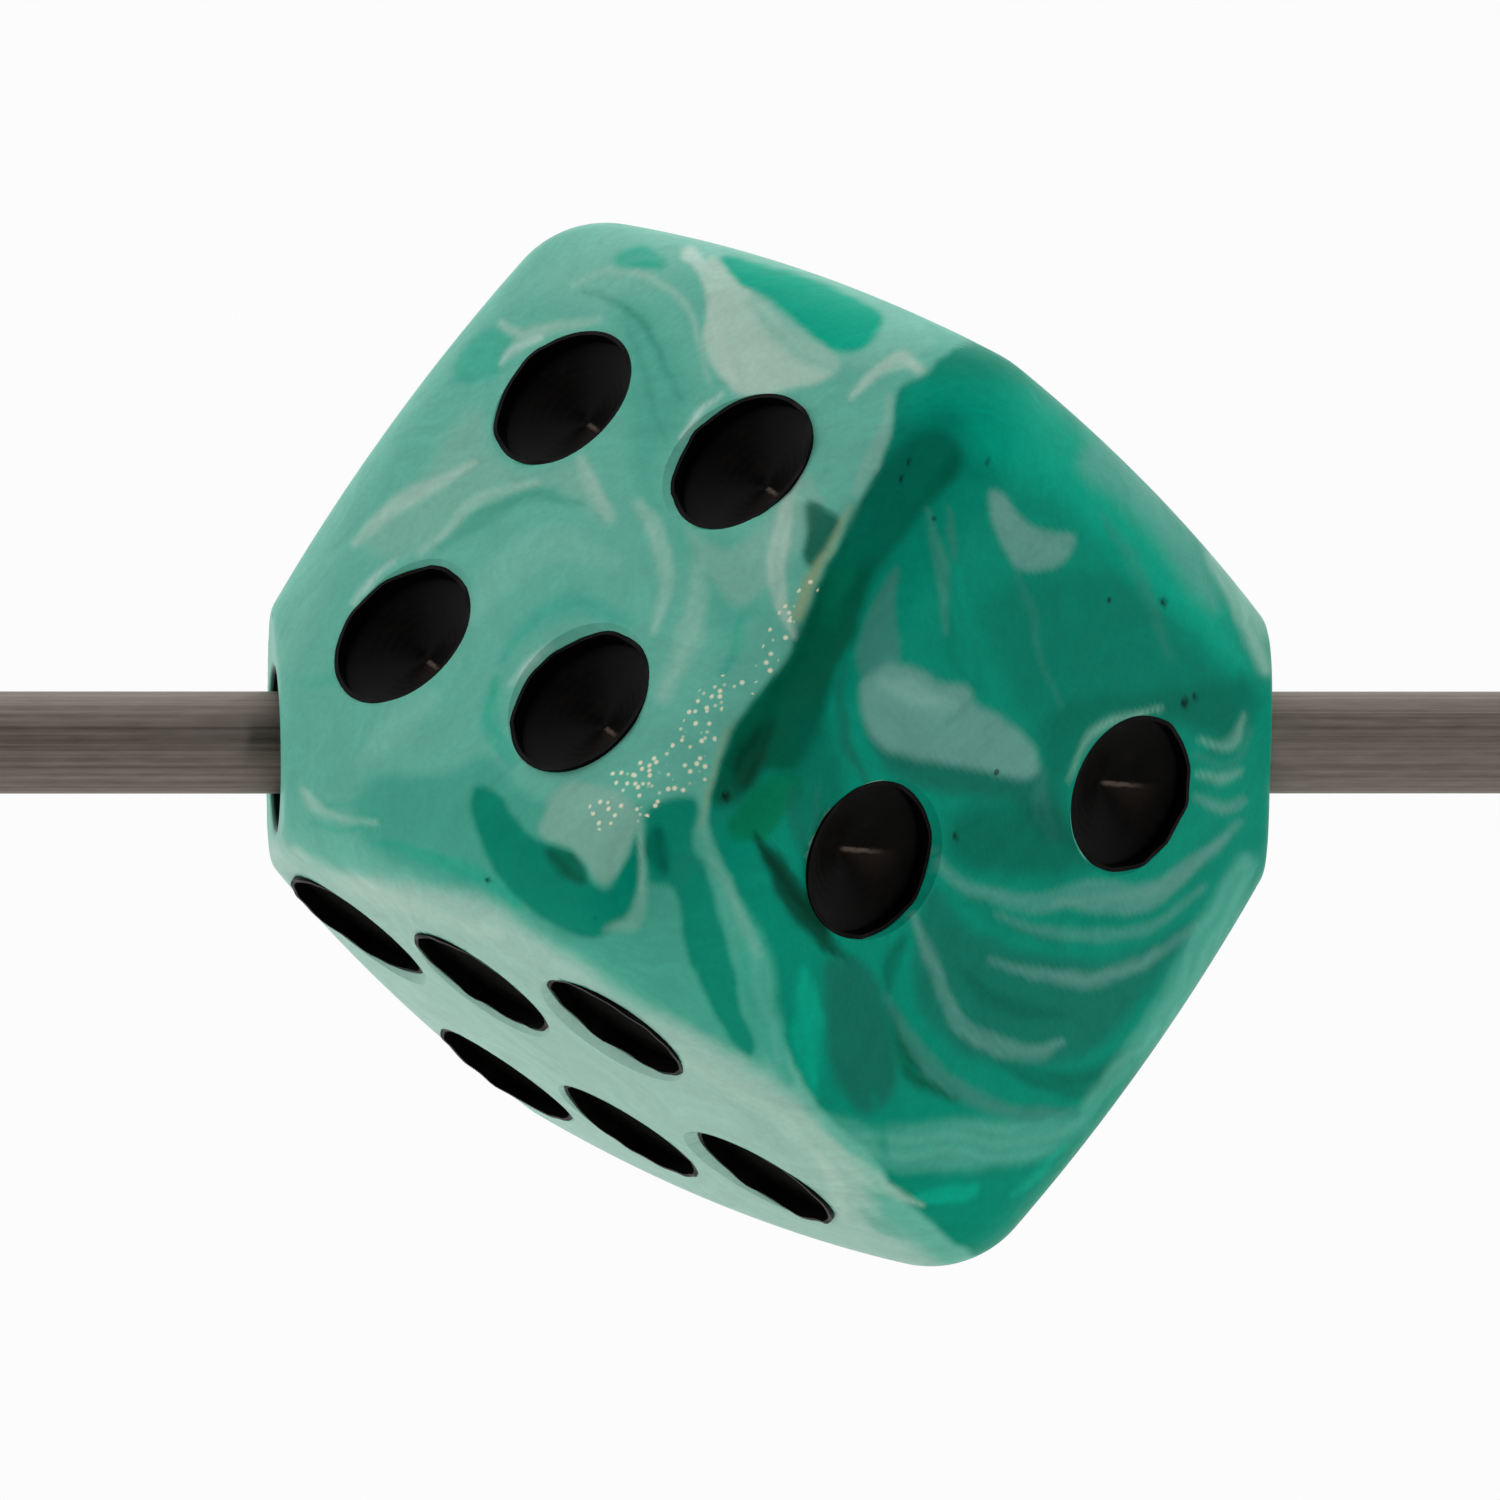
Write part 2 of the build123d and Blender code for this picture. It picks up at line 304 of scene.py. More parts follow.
# Swirls laid out as the die is seen from the front, in order, each over the last: pigment, strength,
# softness of its edge, then half widths (a stroke) or None (a patch) and the places, in mm right and up.
swirls = [
    # the paler middle tones of four
    ("pale", .6, .5, None, [(-6.9, 3.6), (-5.2, 5.7), (-3.9, 7.3), (-2.6, 8.1), (-.8, 8.1),
        (-2.2, 6.9), (-4.2, 6.8), (-6.3, 3.9), (-7.4, 1.2), (-7.9, 1.4)]),
    ("sage", .45, .4, None, [(-2.3, 7.0), (-1.6, 6.4), (-1.2, 5.4), (-1.7, 4.3), (-1.5, 3.4),
        (-.4, 3.0), (0, 1.8), (-.6, 1.2), (-1.0, 2.4), (-2.0, 4.0), (-2.2, 5.6)]),
    ("ash", .5, .25, None, [(-5.5, 4.1), (-5.0, 4.9), (-4.5, 5.2), (-4.3, 4.5), (-3.6, 4.2),
        (-2.8, 4.4), (-2.5, 3.4), (-3.4, 4.0), (-4.6, 3.8), (-5.6, 2.9), (-6.4, 3.2)]),
    ("jade", .5, .15, None, [(-4.9, 5.9), (-4.6, 6.35), (-4.1, 6.4), (-3.95, 6.1), (-4.2, 5.7),
        (-4.8, 5.6)]),
    ("jade", .8, .14, [.12, .2, .12], [(-2.3, 7.5), (-2.0, 7.55), (-1.7, 7.5)]),
    ("chalk", .45, .08, [.03, .06, .05, .03], [(-3.1, 7.15), (-2.5, 7.35), (-1.8, 7.25), (-1.3, 6.8),
        (-1.05, 6.2), (-.9, 5.6)]),
    ("sea", .45, .06, [.03, .06, .03], [(-2.9, 7.05), (-2.4, 6.95), (-2.0, 6.6), (-1.7, 6.1),
        (-1.4, 5.4)]),
    ("sea", .3, .05, [.02, .04, .02], [(-2.2, 6.4), (-1.9, 5.9), (-1.8, 5.2), (-1.6, 4.7)]),
    ("chalk", .55, .1, [.06, .1, .05], [(-4.15, 6.5), (-3.8, 6.35), (-3.4, 6.5), (-2.6, 6.65)]),
    ("chalk", .7, .09, [.05, .1, .13, .05], [(-6.5, 3.1), (-6.0, 3.55), (-5.4, 4.0), (-4.6, 4.35)]),
    ("chalk", .55, .08, [.05, .09, .1, .04], [(-5.4, 2.95), (-5.0, 3.3), (-4.5, 3.75), (-3.6, 4.05)]),
    ("teal", .4, .12, [.05, .12, .1, .05], [(-5.1, 3.0), (-4.5, 3.45), (-3.7, 3.85), (-2.9, 3.7)]),
    ("pale", .5, .2, [.1, .3, .3, .1], [(-4.6, 1.9), (-4.2, 2.6), (-3.3, 3.1), (-2.3, 2.8)]),
    ("jade", .45, .16, [.05, .14, .2, .1], [(-4.2, 1.3), (-3.8, 1.8), (-3.1, 2.15), (-2.2, 1.9)]),
    ("jade", .6, .15, [.08, .16, .1], [(-4.25, 1.0), (-4.3, .3), (-4.0, -.3)]),
    ("chalk", .5, .12, [.05, .13, .08], [(-2.95, 4.45), (-2.75, 4.0), (-2.45, 3.5)]),
    ("chalk", .5, .15, [.08, .14, .1, .05], [(-2.0, 3.7), (-1.75, 3.3), (-1.6, 2.6), (-1.8, 1.8)]),
    ("chalk", .35, .2, [.1, .2, .15], [(-1.1, 2.8), (-1.2, 1.8), (-1.6, .8)]),
    ("ash", .6, .2, None, [(-1.3, 3.3), (-.6, 3.0), (.1, 3.7), (.5, 4.2), (.9, 4.0), (.6, 3.2),
        (0, 2.4), (-.6, 2.2)]),
    # the big pale swirl and the bright patch over two and four
    ("pale", .7, .2, None, [(-1.0, 7.9), (.6, 7.5), (1.8, 6.9), (2.6, 6.3), (2.2, 6.0), (1.2, 5.9),
        (.2, 6.5), (-.9, 7.2)]),
    ("jade", 1, .1, None, [(-.7, 7.6), (.1, 7.45), (.9, 7.15), (1.5, 6.9), (1.8, 6.6), (1.45, 6.15),
        (.95, 6.15), (.4, 6.6), (-.2, 7.0), (-.6, 7.3)]),
    ("chalk", .85, .1, None, [(-.95, 7.6), (-.95, 6.9), (-1.0, 6.3), (-.8, 5.8), (-.45, 5.45),
        (.3, 5.5), (.95, 5.7), (1.1, 6.0), (.6, 6.35), (.1, 6.75), (-.4, 7.15)]),
    ("mint", .5, .15, [.15, .25, .1], [(-.2, 6.9), (.5, 6.2), (1.2, 5.8)]),
    ("chalk", .9, .06, [.1, .08, .06, .1], [(-1.25, 7.65), (-1.0, 7.25), (-.85, 6.6), (-.55, 5.7)]),
    ("frost", .5, .06, [.12, .05], [(-1.2, 7.65), (-1.0, 7.4)]),
    # two: the deep teal body
    ("teal", 1, .07, None, [(2.9, 6.1), (2.5, 5.75), (2.02, 5.5), (1.9, 4.9), (1.55, 4.1), (1.15, 3.2),
        (.8, 2.5), (.47, 1.6), (0, 1.0), (-.45, .4), (-.75, -.35), (-.92, -1.2), (-.55, -2.2),
        (-.1, -3.2), (.2, -4.4), (.7, -5.6), (1.6, -6.4), (2.4, -7.4), (4.2, -8.3), (8.3, -8), (9, 0),
        (8, 5), (4.5, 7)]),
    ("jade", .6, .5, None, [(2.3, 5.6), (4.0, 5.5), (5.6, 4.2), (6.8, 2.6), (7.4, 1.2), (6.5, 1.9),
        (5.0, 3.4), (3.4, 4.4), (2.5, 4.6)]),
    ("sea", .7, .4, None, [(3.4, 2.2), (5.2, 2.6), (6.6, 1.6), (7.3, .4), (6.6, .2), (5.2, .6),
        (4.3, -.2), (3.9, .7)]),
    ("deep", .55, .3, None, [(4.4, .4), (5.2, .75), (6.2, .8), (7.5, 1.0), (7.6, .3), (6.9, -.3),
        (6.8, .2), (5.6, .4), (4.8, -.3), (4.6, -1.4), (4.3, -.6)]),
    ("jade", .35, .12, [.08, .12, .06], [(2.95, 2.6), (3.05, 1.8), (3.2, 1.0)]),
    ("haze", .4, .07, [.03, .06, .04, .02], [(3.9, 2.7), (4.1, 2.0), (4.3, 1.3), (4.6, .6)]),
    ("haze", .6, .06, [.03, .07, .03], [(2.82, 3.65), (2.88, 3.3), (2.92, 2.85)]),
    ("forest", .85, .2, None, [(2.7, 4.9), (1.95, 4.5), (1.4, 3.9), (1.1, 3.0), (.75, 2.4), (.5, 1.6),
        (0, .95), (-.45, .35), (-.75, -.35), (-.85, -.95), (-.4, -.9), (-.1, -.5), (.4, -.45),
        (.8, .2), (1.05, 1.1), (1.4, 1.7), (1.6, 2.4), (2.2, 3.3), (3.0, 4.3)]),
    ("sea", .5, .2, [.1, .2, .15, .05], [(1.5, 3.6), (1.3, 3.0), (1.2, 2.5), (1.0, 2.2)]),
    ("sea", .6, .45, None, [(1.2, 3.3), (1.7, 4.4), (2.6, 5.2), (3.1, 4.9), (2.5, 3.7), (1.7, 2.8)]),
    ("leaf", .4, .2, [.08, .2, .1], [(1.5, 3.2), (1.1, 2.5), (1.0, 1.9)]),
    ("night", .7, .2, [.1, .25, .15], [(0, .3), (-.3, -.25), (-.35, -.6)]),
    ("leaf", .9, .1, None, [(-.42, -1.0), (-.1, -.6), (.4, -.5), (.55, -.8), (.25, -1.1), (0, -1.5),
        (-.5, -1.5), (-.6, -1.2)]),
    ("night", .9, .1, [.04, .16, .2, .14, .04], [(-.2, -1.45), (.1, -1.9), (.5, -2.5), (.9, -3.05),
        (1.35, -3.4)]),
    ("slate", .8, .07, [.03, .16, .14, .03], [(.35, -.65), (.38, -1.0), (.5, -1.4), (.62, -1.85)]),
    ("haze", .5, .05, [.03, .05, .02], [(.8, -.75), (.75, -1.1), (.7, -1.6)]),
    ("haze", .9, .1, None, [(2.07, 2.72), (2.02, 2.1), (2.1, 1.35), (1.85, 1.1), (1.45, 1.1),
        (1.42, 1.55), (1.62, 2.05), (1.85, 2.45)]),
    ("slate", .8, .07, [.03, .08, .09, .1, .05], [(1.25, 1.25), (1.12, .8), (1.18, .3), (1.3, -.2),
        (1.6, -.6)]),
    ("slate", .9, .2, None, [(1.5, .4), (2.4, .2), (4.0, -.3), (4.4, -.6), (4.6, -1.2), (4.85, -1.7),
        (4.3, -1.45), (3.9, -.95), (3.2, -.85), (2.5, -.7), (1.9, -.4)]),
    ("smoke", .95, .16, None, [(1.48, .95), (1.9, 1.22), (2.3, 1.15), (2.7, .95), (3.15, .85),
        (3.25, .62), (3.55, .5), (3.9, .22), (4.15, -.15), (4.2, -.5), (3.85, -.6), (3.2, -.4),
        (2.5, -.25), (1.9, -.1), (1.5, .3)]),
    ("ash", .4, .12, [.1, .2, .1], [(1.8, .95), (2.2, .8), (2.9, .55)]),
    ("haze", .5, .06, [.02, .04, .02], [(3.2, .7), (3.0, .45), (2.7, .2)]),
    ("haze", .5, .08, [.05, .14, .1], [(4.3, -.5), (4.3, -1.0), (4.5, -1.5)]),
    ("smoke", .85, .12, None, [(3.45, 3.9), (3.68, 3.85), (3.95, 3.5), (4.4, 3.3), (4.8, 3.22),
        (4.72, 2.95), (4.5, 2.72), (4.1, 2.65), (3.85, 2.8), (3.6, 3.2), (3.5, 3.5)]),
    ("smoke", .8, .08, [.1, .14, .08], [(3.6, 3.75), (3.85, 3.35), (4.4, 3.0)]),
    ("deep", .55, .3, None, [(.3, .3), (.8, .4), (1.15, -.2), (1.2, -1.0), (.8, -1.7), (.5, -1.0)]),
    ("haze", .35, .15, [.04, .12, .1, .05], [(5.2, 3.6), (5.7, 2.9), (6.1, 2.0), (6.3, 1.3)]),
    ("sea", .5, .2, [.06, .2, .25, .1], [(2.6, 3.0), (2.9, 2.2), (3.0, 1.4), (3.3, .9)]),
    ("smoke", .3, .12, [.03, .1, .08, .03], [(2.5, 3.6), (2.75, 2.6), (2.8, 1.7)]),
    # the fan of arcs under two's pips
    ("deep", .7, .4, None, [(2.9, -1.1), (4.1, -.9), (5.1, -1.3), (5.0, -2.0), (3.8, -2.1), (2.9, -1.8)]),
    ("slate", .75, .25, None, [(2.6, -2.3), (3.1, -2.9), (4.2, -3.3), (5.4, -3.4), (6.6, -2.9),
        (5.7, -4.1), (4.9, -4.9), (3.8, -5.0), (2.9, -4.8), (2.3, -3.8)]),
    ("sea", .6, .12, [.1, .14, .12, .05], [(3.2, -2.5), (3.6, -2.75), (4.2, -2.95), (4.6, -3.2)]),
    ("smoke", .5, .08, [.04, .1, .12, .14, .16, .14, .1, .05], [(2.6, -1.7), (2.95, -2.15),
        (3.5, -2.4), (4.3, -2.5), (5.0, -2.35), (5.9, -2.3), (6.7, -1.9), (7.4, -1.25)]),
    ("smoke", .6, .1, [.04, .16, .2, .12, .05], [(4.5, -2.5), (5.2, -2.55), (5.9, -2.4), (6.6, -1.95),
        (7.2, -1.5)]),
    ("smoke", .45, .07, [.04, .08, .1, .08, .05], [(3.6, -2.7), (4.4, -2.95), (5.2, -3.05),
        (6.0, -2.85), (6.8, -2.3)]),
    ("sea", .5, .06, [.03, .06, .03], [(4.6, -2.75), (5.3, -2.8), (6.1, -2.6)]),
    ("smoke", .65, .1, [.03, .1, .13, .1, .04], [(3.5, -3.4), (4.2, -3.65), (5.0, -3.7), (5.8, -3.45),
        (6.7, -2.9)]),
    ("deep", .6, .12, [.05, .12, .15, .05], [(3.0, -3.5), (3.4, -3.9), (3.9, -4.2), (4.6, -4.3)]),
    ("deep", .7, .1, [.05, .14, .05], [(2.15, -3.0), (1.95, -3.4), (1.9, -3.9)]),
    ("smoke", .6, .08, [.05, .1, .1, .14, .16, .12, .06], [(2.3, -2.65), (2.5, -3.2), (2.7, -3.8),
        (3.0, -4.4), (3.6, -4.75), (4.2, -4.85), (4.6, -4.7)]),
    ("forest", .85, .14, [.06, .16, .2, .14], [(1.95, -4.2), (2.15, -4.8), (2.4, -5.2), (2.9, -5.5)]),
    ("haze", .9, .09, [.04, .08, .12, .15, .12, .05], [(1.85, -4.0), (2.15, -4.5), (2.5, -5.0),
        (3.0, -5.45), (3.8, -5.75), (4.8, -5.75)]),
    ("deep", .7, .15, [.05, .16, .24, .1], [(3.6, -5.0), (4.3, -5.25), (5.0, -5.3), (5.6, -4.9)]),
    ("mint", .6, .2, [.1, .2, .25, .15], [(5.0, -5.7), (6.1, -4.3), (6.9, -3.0), (7.5, -1.9)]),
    # the ends of two
    ("smoke", .5, .35, None, [(4.9, 4.3), (5.6, 3.7), (6.3, 2.9), (6.9, 2.1), (6.9, 2.6), (6.1, 3.9),
        (5.2, 4.7)]),
    ("ash", .5, .1, [.03, .08, .08, .03], [(6.75, .05), (7.1, -.1), (7.35, .1), (7.45, .4)]),
    ("ash", .5, .1, [.03, .07, .03], [(6.7, -.5), (7.05, -.58), (7.4, -.45)]),
    ("haze", .7, .06, [.03, .05, .03], [(6.65, -.2), (7.1, -.42), (7.4, -.2), (7.55, .2)]),
    ("smoke", .7, .08, [.04, .1, .06], [(6.7, -.85), (7.15, -1.0), (7.45, -.9)]),
    ("ash", .7, .15, [.1, .2, .12], [(6.9, 2.9), (7.5, 2.0), (7.8, 1.2)]),
    # below: the teal column, the pale line and the bottom corner
    ("slate", .9, .2, None, [(.9, -3.5), (1.6, -3.5), (1.9, -4.3), (2.0, -5.3), (1.5, -5.8),
        (1.0, -5.0)]),
    ("jade", .7, .14, [.1, .22, .18, .06], [(.55, -3.6), (.62, -4.4), (.65, -5.0), (.75, -5.5)]),
    ("mint", .6, .25, [.1, .3, .4, .3, .1], [(.6, -5.9), (1.9, -6.3), (3.1, -6.3), (4.1, -6.2),
        (4.9, -5.9)]),
    ("teal", .6, .1, [.05, .13, .05], [(1.65, -5.5), (1.75, -6.0), (1.85, -6.4)]),
    ("jade", .8, .12, [.05, .14, .1], [(2.3, -7.1), (2.7, -7.1), (3.2, -7.0)]),
    ("jade", .6, .1, [.04, .08, .04], [(3.8, -7.1), (4.2, -6.75), (4.6, -6.3)]),
    ("sage", .7, .12, [.05, .12, .22, .28, .25, .1], [(-.95, -1.5), (-.62, -2.3), (-.3, -3.0),
        (-.15, -3.7), (.05, -4.5), (.3, -5.3)]),
    ("ash", .4, .08, [.03, .05, .07, .1, .06], [(-1.05, -1.1), (-.92, -1.65), (-.68, -2.15),
        (-.42, -2.7), (-.2, -3.3)]),
    ("night", .6, .15, [.06, .18, .2, .06], [(0, -1.75), (.25, -2.15), (.55, -2.65), (.9, -3.1)]),
    ("forest", .55, .15, [.08, .2, .16, .06], [(.75, 2.1), (.4, 1.4), (.15, .9), (-.1, .3)]),
    ("straw", .6, .05, [.03, .03, .04, .03], [(-.5, .4), (-.78, -.2), (-.95, -.8), (-1.05, -1.3)]),
    # under four: teal patches round a pale triangle
    ("sage", .7, .25, None, [(-6.2, -.6), (-5.0, -.5), (-4.4, -.2), (-3.5, -.9), (-2.0, -1.0),
        (-1.2, -.8), (-.9, -1.8), (-.3, -3.6), (0, -5.0), (-1.0, -4.6), (-2.6, -3.5), (-4.2, -2.5),
        (-6.2, -1.7)]),
    ("teal", 1, .07, None, [(-4.6, -.75), (-4.15, -.8), (-4.0, -1.1), (-3.7, -1.5), (-3.3, -1.6),
        (-3.0, -1.8), (-2.75, -2.15), (-2.5, -2.3), (-2.35, -2.1), (-2.15, -1.65), (-1.97, -1.5),
        (-2.0, -2.1), (-2.15, -2.6), (-2.5, -2.95), (-2.95, -3.0), (-3.6, -2.65), (-4.2, -2.15),
        (-4.5, -1.5)]),
    ("teal", .95, .07, None, [(-1.82, -1.05), (-1.3, -.85), (-1.12, -1.0), (-1.14, -1.6), (-.98, -1.9),
        (-.8, -2.5), (-.62, -3.3), (-.38, -4.2), (-.2, -4.75), (-.4, -4.9), (-.9, -4.1), (-1.3, -3.2),
        (-1.45, -2.3), (-1.85, -2.1)]),
    ("forest", .8, .12, [.1, .2, .1], [(-3.4, -1.75), (-3.15, -1.9), (-2.9, -2.1)]),
    ("deep", .8, .12, [.12, .18, .1], [(-1.7, -1.4), (-1.68, -1.7), (-1.6, -1.95)]),
    ("ash", .8, .08, None, [(-3.6, -1.4), (-3.2, -.6), (-2.2, -.85), (-1.98, -1.2), (-2.25, -1.85),
        (-2.5, -2.2), (-2.8, -1.95), (-3.1, -1.65)]),
    ("chalk", .5, .05, [.02, .05, .03], [(-1.95, -1.1), (-1.94, -1.7), (-1.96, -2.3)]),
    ("jade", .6, .12, [.05, .12, .14, .08], [(-6.0, -1.6), (-5.2, -1.8), (-4.6, -2.05), (-3.9, -2.5)]),
    ("ash", .5, .1, [.05, .15, .05], [(-2.5, -2.9), (-2.1, -2.75), (-1.9, -2.3)]),
    # round the drilled corner of four
    ("jade", .5, .05, [.02, .05, .03], [(-7.1, -1.25), (-6.55, -1.4), (-6.1, -1.15)]),
    ("jade", .4, .05, [.02, .05, .02], [(-6.9, -.98), (-6.5, -1.0), (-6.3, -.9)]),
    ("chalk", .6, .06, [.06, .08, .04, .03], [(-7.3, -.75), (-7.1, -.95), (-6.7, -1.2), (-6.1, -1.25)]),
    ("jade", .3, .1, [.05, .1, .05], [(-7.2, .9), (-6.9, 1.0), (-6.6, 1.2)]),
    ("pale", .5, .2, [.1, .25, .15], [(-6.3, -.3), (-5.8, .2), (-5.3, .7)]),
    # the pale rim between four and two
    ("mint", .9, .1, None, [(.8, 5.5), (1.3, 5.75), (2.0, 6.15), (2.4, 5.9), (2.4, 5.75), (2.05, 5.5),
        (1.97, 4.95), (1.75, 4.4), (1.5, 3.95), (1.25, 3.75), (.95, 3.75), (.7, 4.2), (.75, 4.9)]),
    ("chalk", .8, .09, [.08, .14, .12, .05], [(2.4, 5.85), (2.1, 6.0), (1.75, 5.85), (1.3, 5.45)]),
    ("ash", .7, .08, [.05, .1, .14, .06], [(1.9, 5.4), (1.85, 4.9), (1.6, 4.4), (1.35, 3.95)]),
    ("deep", .9, .07, None, [(.63, 3.75), (.85, 3.7), (1.08, 3.5), (.95, 3.15), (.72, 2.75),
        (.56, 2.9), (.58, 3.3)]),
    ("chalk", .75, .09, [.04, .12, .15, .12, .05], [(.48, 4.1), (.28, 3.5), (.15, 2.9), (.25, 2.3),
        (.42, 1.65)]),
    ("straw", .8, .06, [.03, .06, .09, .06], [(1.2, 3.7), (.95, 3.05), (.68, 2.55), (.5, 1.95)]),
    ("mint", .8, .1, None, [(.4, 1.55), (0, 1.05), (-.4, .45), (-.6, .2), (-1.0, .8), (-.6, 1.6),
        (-.1, 2.0)]),
    ("jade", .4, .12, [.05, .12, .08], [(-.4, 2.0), (-.5, 1.5), (-.7, 1.1)]),
    # pale unpainted rims along the upper left of the pips, lightened further as painted highlight where
    # their bevels catch the light
    ("frost", .7, .1, [.02, .05, .02], [(-4.15, 5.85), (-3.9, 6.15), (-3.55, 6.35)]),
    ("frost", .7, .1, [.02, .05, .02], [(-1.38, 4.75), (-1.1, 5.1), (-.7, 5.42)]),
    ("frost", .7, .1, [.02, .05, .02], [(-6.45, 2.2), (-6.2, 2.55), (-5.8, 2.85)]),
    ("frost", .6, .1, [.02, .05, .05, .02], [(-4.0, .95), (-3.65, 1.35), (-3.1, 1.65)]),
    ("ash", .7, .1, [.02, .05, .05, .02], [(4.72, -.6), (4.95, 0), (5.45, .4), (6.1, .52)]),
    # six: pale all over, a painted reflection of the bright surroundings at its grazing angle over its own
    # paler plastic, and a pale line along its edge with two that is painted sheen
    ("mist", 1, .3, None, [(-7.9, -1.5), (-7.0, -2.0), (-6.0, -2.15), (-5.0, -2.3), (-4.0, -2.75),
        (-3.0, -3.45), (-2.0, -4.1), (-1.0, -4.6), (0, -5.3), (.8, -6.0), (1.4, -6.7), (1.8, -7.5),
        (2.2, -8.6), (-8, -8.6), (-9, -2)]),
    ("chalk", .5, .15, [.1, .15, .12, .08], [(-7.4, -1.7), (-6.3, -2.3), (-5.2, -2.7), (-4.2, -3.0)]),
    ("chalk", .5, .15, [.05, .12, .12, .06], [(-2.4, -4.2), (-1.0, -5.1), (.3, -6.0), (1.2, -7.0)]),
    ("chalk", .55, .08, [.05, .1, .15, .1, .03], [(.4, -5.8), (.95, -6.25), (1.5, -6.7), (1.95, -7.0),
        (2.4, -7.25)]),
    ("chalk", .6, .1, [.05, .12, .1], [(.8, -6.4), (1.05, -6.9), (1.2, -7.4)]),
    ("sage", .6, .1, [.04, .1, .04], [(1.5, -7.3), (1.8, -7.6), (2.1, -7.75)]),
]

# dark specks in the plastic, in mm right and up, with their radius
specks = [
    (6.22, 2.23, .06), (6.5, .62, .07), (6.68, .75, .05), (2.1, 4.13, .05), (2.22, 4.42, .04),
    (3.4, 4.4, .04),
    (-.65, -.85, .08), (2.9, -1.45, .05), (-4.4, -2.15, .05),
]
# where the glitter lies, along one seam
glitterSeam = [
    (.75, 2.75), (.5, 2.2), (-.1, 1.2), (-.8, .75), (-1.05, .2), (-1.2, -.2), (-1.6, -.5), (-2.1, -.75),
    (-2.6, -1.1),
]
glitterWidths = [.05, .12, .08, .2, .25, .3, .35, .4, .2]

# How the swirls are laid, in millimetres, except the seed of their wander and the streaks' share of a stroke
marbling = {
    "seed": 7,
    "leastSoft": 0.12,
    "wander": 0.08,
    "quiver": 0.035,
    "margin": 1.2,
    "streaks": 0.14,
}


def smoothLine(places, closed=False, steps=7):
    # a curve through the given places
    p = np.array(places, float)
    ends = (p[-1:], p[:2]) if closed else (2 * p[:1] - p[1:2], 2 * p[-1:] - p[-2:-1])
    p = np.vstack([ends[0], p, ends[1]])
    t = np.linspace(0, 1, steps, endpoint=False)[:, None]
    line = [
        0.5 * (2 * b + (c - a) * t + (2 * a - 5 * b + 4 * c - d) * t**2 + (3 * b - a - 3 * c + d) * t**3)
        for a, b, c, d in zip(p, p[1:], p[2:], p[3:])
    ]
    return np.vstack(line + [p[-2:-1]])


def strokeDistance(seen, line, halfWidths):
    # distance outside a stroke of changing width, and how far along and across it each point is
    widths = np.interp(np.linspace(0, 1, len(line)), np.linspace(0, 1, len(halfWidths)), halfWidths)
    best, along, across = np.full(len(seen), 99.0), np.zeros(len(seen)), np.zeros(len(seen))
    run = 0.0
    for a, b, wide, nextWide in zip(line, line[1:], widths, widths[1:]):
        way = b - a
        length = max(np.linalg.norm(way), 1e-6)
        t = np.clip((seen - a) @ way / length**2, 0, 1)
        off = seen - a - t[:, None] * way
        far = np.linalg.norm(off, axis=1) - (wide + t * (nextWide - wide))
        nearer = far < best
        best = np.where(nearer, far, best)
        along = np.where(nearer, run + t * length, along)
        across = np.where(nearer, (way[0] * off[:, 1] - way[1] * off[:, 0]) / length, across)
        run += length
    return best, along, across


def patchDistance(seen, outline):
    # distance outside a closed outline, less than nothing inside it
    best, inside = np.full(len(seen), 99.0), np.zeros(len(seen), bool)
    for a, b in zip(outline, outline[1:]):
        way = b - a
        t = np.clip((seen - a) @ way / max(way @ way, 1e-9), 0, 1)
        best = np.minimum(best, np.linalg.norm(seen - a - t[:, None] * way, axis=1))
        crosses = (a[1] > seen[:, 1]) != (b[1] > seen[:, 1])
        at = a[0] + (seen[:, 1] - a[1]) * way[0] / (way[1] if abs(way[1]) > 1e-9 else 1e-9)
        inside ^= crosses & (seen[:, 0] < at)
    return np.where(inside, -best, best)


def softStep(low, high, value):
    t = np.clip((value - low) / (high - low), 0, 1)
    return t * t * (3 - 2 * t)


